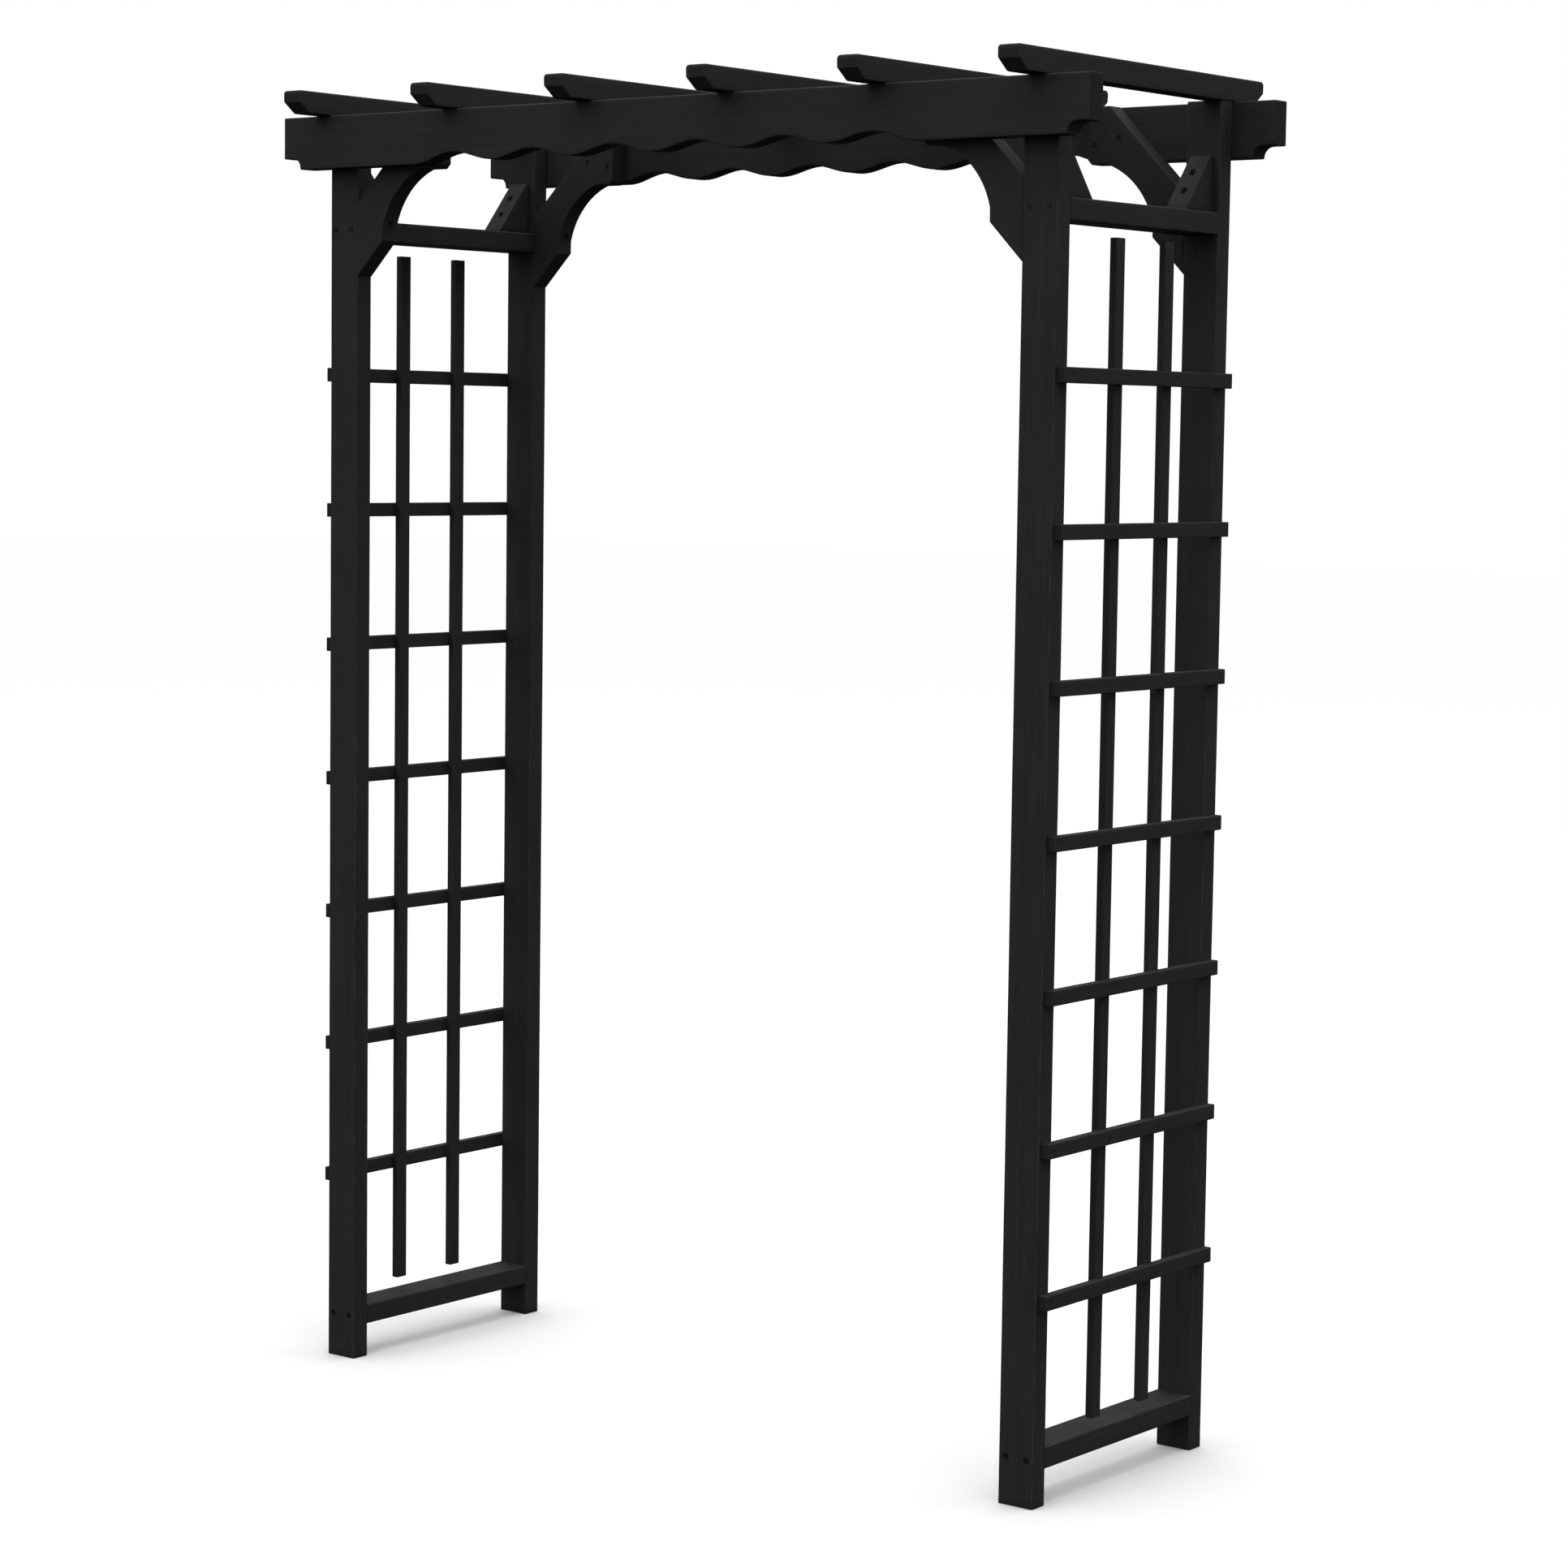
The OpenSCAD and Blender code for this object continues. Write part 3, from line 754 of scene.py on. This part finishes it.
def floor():
    """A wide pale floor at the posts' feet."""
    mesh = new_mesh("floor", [(x * FLOOR_HALF, y * FLOOR_HALF, 0)
                              for x, y in ((-1, -1), (1, -1), (1, 1), (-1, 1))], [(0, 1, 2, 3)])
    thing = bpy.data.objects.new("floor", mesh)
    bpy.context.scene.collection.objects.link(thing)
    material, _, shader = node_tree("pale_floor")
    shader.inputs["Base Color"].default_value = FLOOR_TONE
    shader.inputs["Roughness"].default_value = 0.9
    shader.inputs["Specular IOR Level"].default_value = 0.1
    mesh.materials.append(material)
    thing.visible_diffuse = False
    thing.visible_glossy = False


def world():
    """A soft dome: bright overhead, even about the horizon, dim below; plain white to the camera."""
    made = bpy.data.worlds.new("studio")
    bpy.context.scene.world = made
    made.use_nodes = True
    tree = made.node_tree
    tree.nodes.clear()
    direction = add(tree, "ShaderNodeTexCoord").outputs["Generated"]
    up = add(tree, "ShaderNodeSeparateXYZ", {0: direction}).outputs["Z"]
    level = maths(tree, "ADD", spread_over(tree, up, -0.3, 0.12, 0.02, 0.6),
                  spread_over(tree, up, 0.4, 0.8, 0.0, 0.72))
    dome = add(tree, "ShaderNodeBackground", {"Color": (1, 1, 1, 1), "Strength": level})
    white = add(tree, "ShaderNodeBackground", {"Color": (1, 1, 1, 1), "Strength": 1.0})
    seen = add(tree, "ShaderNodeLightPath").outputs["Is Camera Ray"]
    mix = add(tree, "ShaderNodeMixShader", {0: seen, 1: dome.outputs[0], 2: white.outputs[0]})
    out = add(tree, "ShaderNodeOutputWorld")
    tree.links.new(mix.outputs[0], out.inputs["Surface"])


def softbox(name, place, target, size, power):
    """A round area light that faces a target."""
    data = bpy.data.lights.new(name, "AREA")
    data.shape = "DISK"
    data.size = size
    data.energy = power
    lamp = bpy.data.objects.new(name, data)
    lamp.location = place
    lamp.rotation_euler = (Vector(target) - Vector(place)).to_track_quat("-Z", "Y").to_euler()
    bpy.context.scene.collection.objects.link(lamp)


def camera():
    """The photograph's own viewpoint, found from the perspective of the straight timbers."""
    position = Vector(CAMERA_PLACE)
    azimuth, elevation, roll = (math.radians(a) for a in CAMERA_ANGLES)
    forward = Vector((-math.sin(azimuth) * math.cos(elevation),
                      math.cos(azimuth) * math.cos(elevation), math.sin(elevation)))
    right = Vector((math.cos(azimuth), math.sin(azimuth), 0))
    up = right.cross(forward)
    x_axis = right * math.cos(roll) + up * math.sin(roll)
    y_axis = up * math.cos(roll) - right * math.sin(roll)
    data = bpy.data.cameras.new("camera")
    data.lens, data.sensor_width = CAMERA_LENS, CAMERA_SENSOR
    eye = bpy.data.objects.new("camera", data)
    eye.matrix_world = axes(position, x_axis, y_axis, -forward)
    bpy.context.scene.collection.objects.link(eye)
    bpy.context.scene.camera = eye


floor()
world()
softbox("key", (-2.5, -9.0, 5.0), (0, 0, 1.2), 4.0, 90)
softbox("top", (0.5, 0.5, 9.0), (0, 0, 1), 5.0, 150)
camera()
bpy.context.scene.view_settings.view_transform = "Standard"
